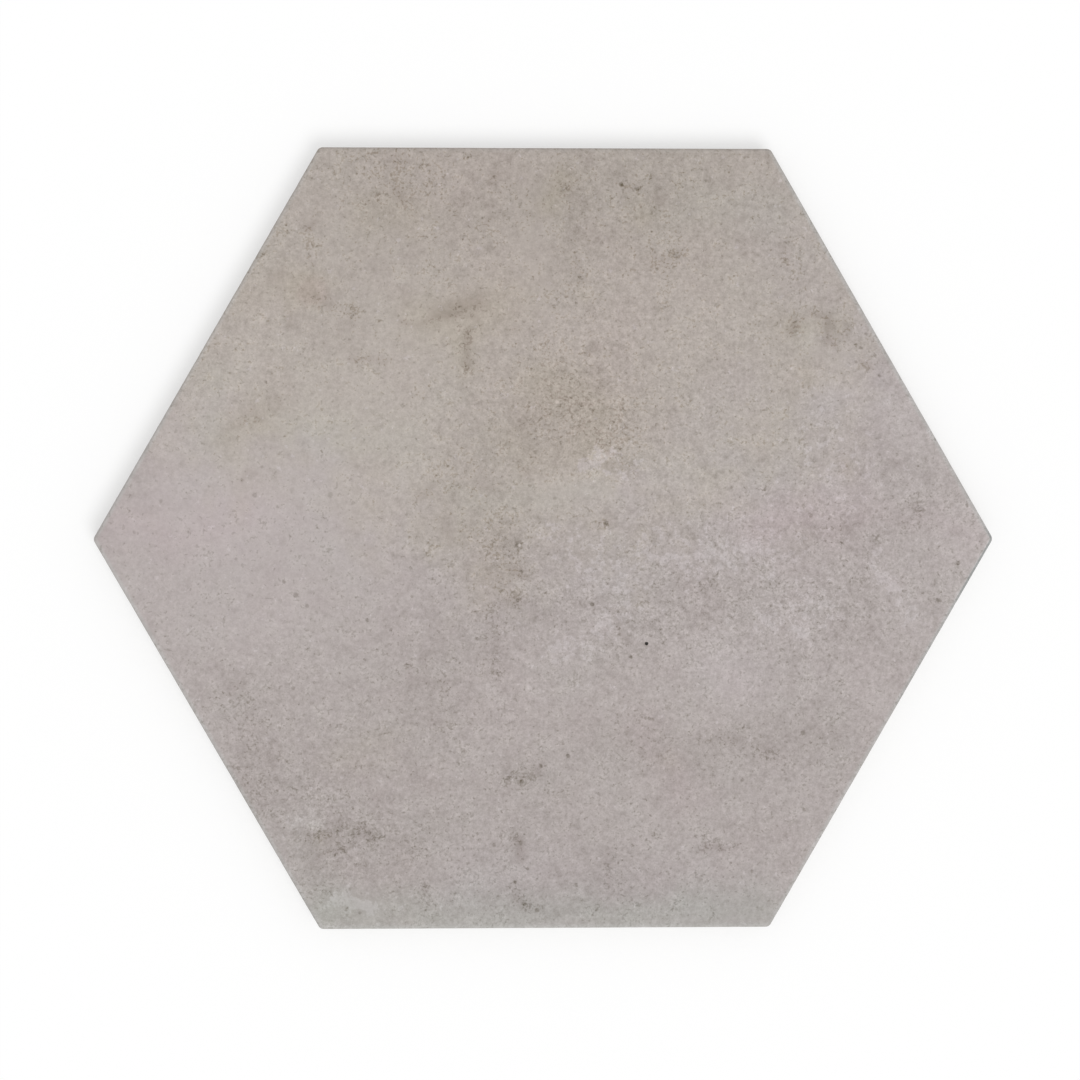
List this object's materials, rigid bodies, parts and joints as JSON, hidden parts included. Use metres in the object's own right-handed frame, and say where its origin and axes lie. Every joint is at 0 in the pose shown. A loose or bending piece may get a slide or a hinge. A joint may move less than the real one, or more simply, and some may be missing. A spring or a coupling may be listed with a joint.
{
  "type": "hexagon floor tile",
  "caption": "Flat regular hexagonal floor tile in matt concrete-look porcelain, with a rounded arris and a honeycomb keying relief on its back.",
  "frame": {"origin": "middle of the back, on the plane that the tile rests on", "axes": "+X from the middle to a corner, +Y square to a side, +Z out of the face that is walked on"},
  "size_m": [0.288, 0.25, 0.009],
  "materials": {
    "matt_porcelain": "matte"
  },
  "bodies": {
    "root": {"hexagon_tile": "matt_porcelain"}
  },
  "joints": []
}
